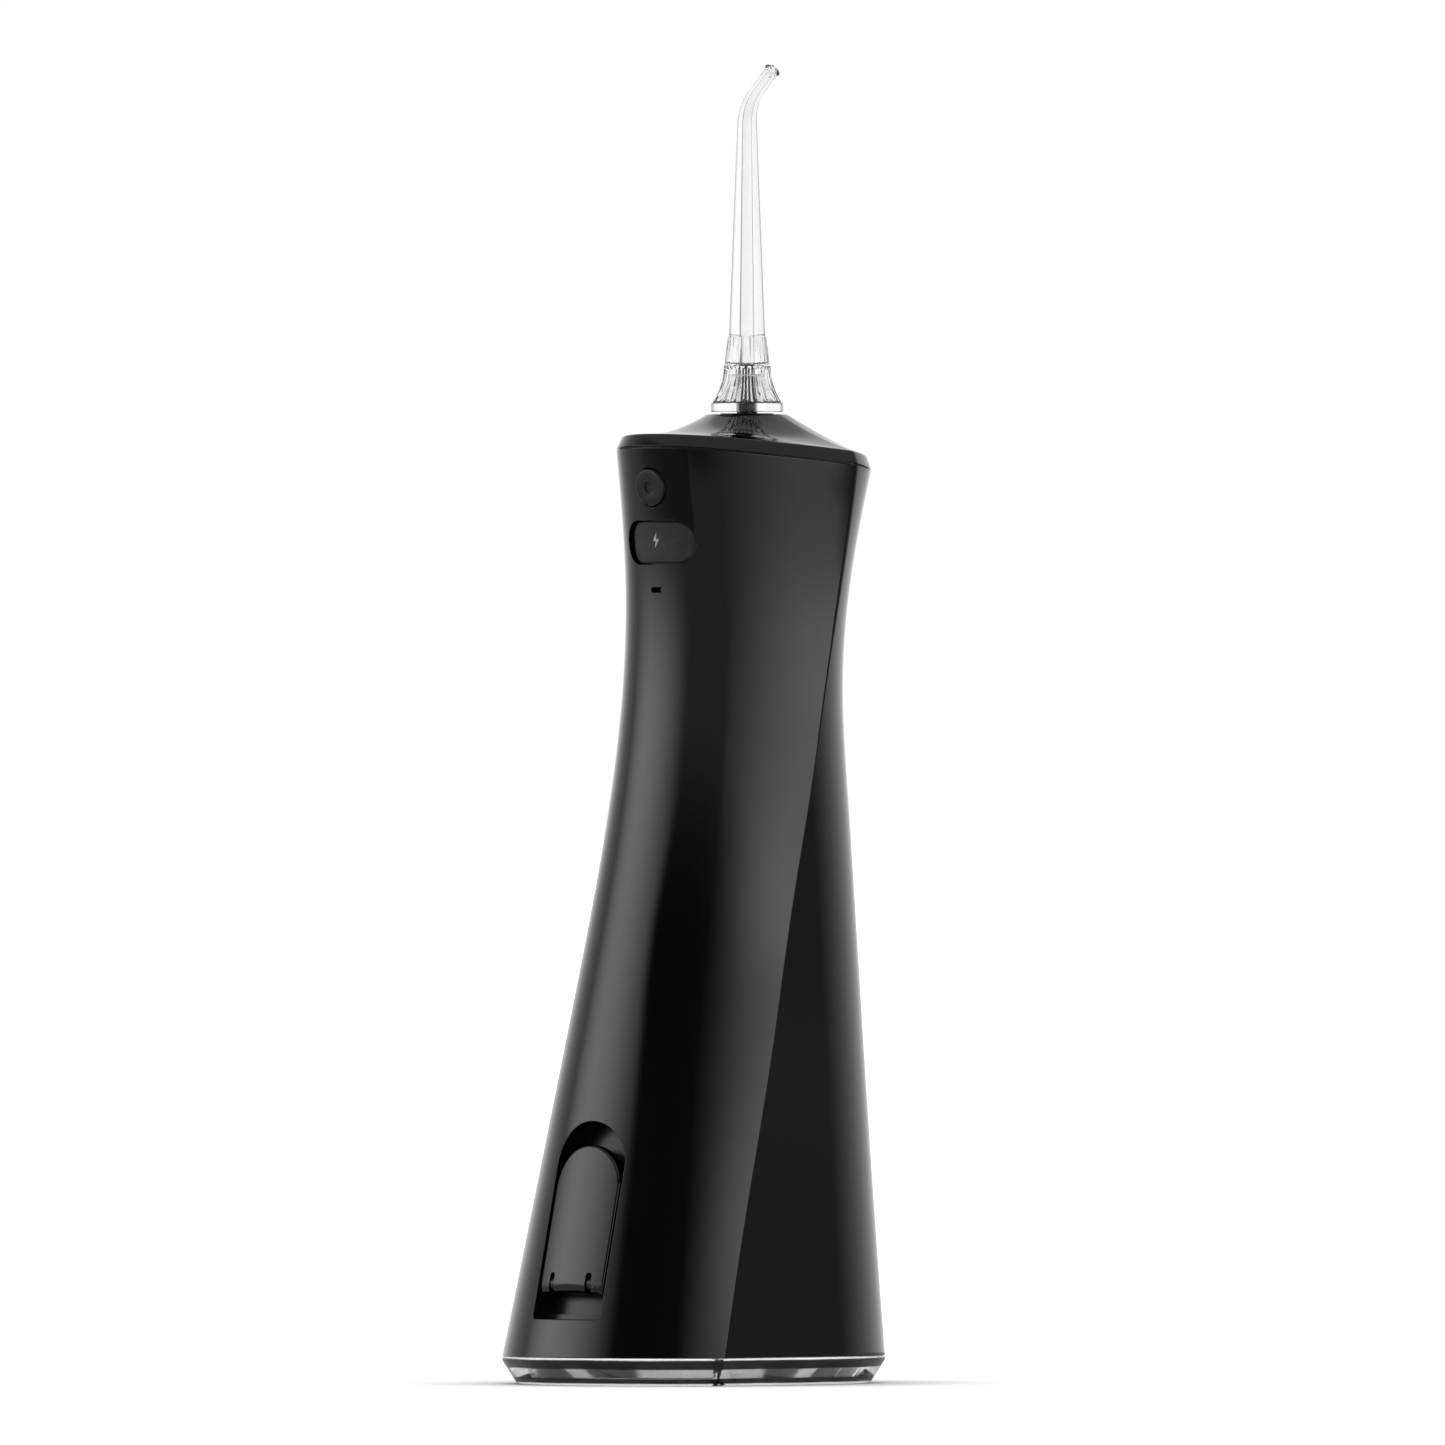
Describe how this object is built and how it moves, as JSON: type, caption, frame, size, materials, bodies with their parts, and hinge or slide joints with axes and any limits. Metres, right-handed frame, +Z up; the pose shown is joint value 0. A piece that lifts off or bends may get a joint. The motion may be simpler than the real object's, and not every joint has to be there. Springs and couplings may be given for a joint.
{
  "type": "cordless water flosser",
  "caption": "Cordless water flosser: a black waisted housing on a clear foot, a bent clear jet nozzle on top, and a hinged door low on its back for filling the reservoir.",
  "frame": {"origin": "on the surface that the foot stands on, straight under the nozzle's axis", "axes": "+Z up along the nozzle's axis, +Y to the back with the release button, charging cover and filling door, -Y to the front with the control buttons"},
  "size_m": [0.0688, 0.0896, 0.2903],
  "materials": {
    "black_gloss": "glossy moulded",
    "black_satin": "satin moulded",
    "white_plastic": "moulded",
    "smoky_clear": "clear moulded",
    "clear": "clear moulded",
    "tube_clear": "soft clear hose",
    "dark_lens": "polished",
    "black_rubber": "matt",
    "grey_rubber": "matt",
    "steel": "plain",
    "brass": "machined",
    "board_green": "coated board",
    "cell_wrap": "shrink wrap"
  },
  "bodies": {
    "housing": {"outer_casing": "black_gloss", "top_cap": "black_gloss", "cap_seal": "black_rubber", "clear_base": "smoky_clear", "tank": "smoky_clear", "door_well": "black_gloss", "door_pin": "steel", "charge_well": "black_satin", "charge_socket": "steel", "charge_lens": "dark_lens", "mode_lights": "dark_lens", "control_board": "board_green", "power_switch": "black_satin", "mode_switch": "black_satin", "chassis": "white_plastic", "battery": "cell_wrap", "motor": "steel", "pump_body": "white_plastic", "suction_tube": "tube_clear", "suction_filter": "black_satin"},
    "seat": {"nozzle_seat": "black_satin"},
    "jet": {"nozzle": "clear", "nozzle_core": "black_gloss", "stem_seal": "black_rubber", "nozzle_ring": "clear"},
    "door": {"fill_door": "black_gloss", "door_gasket": "grey_rubber"},
    "release": {"release_button": "black_gloss", "latch_plate": "white_plastic"},
    "cover": {"charge_cover": "black_rubber"},
    "power": {"power_button": "black_gloss"},
    "mode": {"mode_button": "black_gloss"},
    "drive": {"crank_gear": "white_plastic", "gear_axle": "steel", "crank": "steel"},
    "rotor": {"motor_shaft": "steel", "pinion": "brass"},
    "piston": {"plunger": "black_satin", "plunger_seal": "black_rubber", "wrist_pin": "steel"},
    "rod": {"connecting_rod": "white_plastic"}
  },
  "joints": [
    {"name": "nozzle_turn", "type": "hinge", "parent": "housing", "child": "seat", "pos_m": [0, 0, 0.21], "axis": [0, 0, 1], "continuous": true},
    {"name": "nozzle_lift", "type": "slide", "parent": "seat", "child": "jet", "axis": [0, 0, 1], "range_m": [0, 0.03]},
    {"name": "door_open", "type": "hinge", "parent": "housing", "child": "door", "pos_m": [0, 0.05424, 0.0222], "axis": [-1, 0, 0], "range_deg": [0, 100]},
    {"name": "release_press", "type": "slide", "parent": "housing", "child": "release", "axis": [0, -0.9848, 0.1736], "range_m": [0, 0.0015], "stiffness_N_per_m": 900},
    {"name": "cover_open", "type": "hinge", "parent": "housing", "child": "cover", "pos_m": [0.0092, 0.0271, 0.1847], "axis": [0, 0, -1], "range_deg": [0, 85]},
    {"name": "power_press", "type": "slide", "parent": "housing", "child": "power", "axis": [0, 0.9944, -0.1059], "range_m": [0, 0.0008], "stiffness_N_per_m": 1500},
    {"name": "mode_press", "type": "slide", "parent": "housing", "child": "mode", "axis": [0, 0.9969, -0.079], "range_m": [0, 0.0008], "stiffness_N_per_m": 1500},
    {"name": "gear_turn", "type": "hinge", "parent": "housing", "child": "drive", "pos_m": [0.01, 0, 0.158], "axis": [1, 0, 0], "continuous": true},
    {"name": "rotor_turn", "type": "hinge", "parent": "housing", "child": "rotor", "pos_m": [0.01, 0.011, 0.1478], "axis": [1, 0, 0], "continuous": true},
    {"name": "plunger_stroke", "type": "slide", "parent": "housing", "child": "piston", "axis": [0, 0, -1], "range_m": [0, 0.006]},
    {"name": "rod_swing", "type": "hinge", "parent": "piston", "child": "rod", "pos_m": [0, 0, 0.176], "axis": [1, 0, 0], "range_deg": [-12, 12]}
  ],
  "couplings": [
    {"joint": "rotor_turn", "follows": "gear_turn", "ratio": -3.1667}
  ]
}
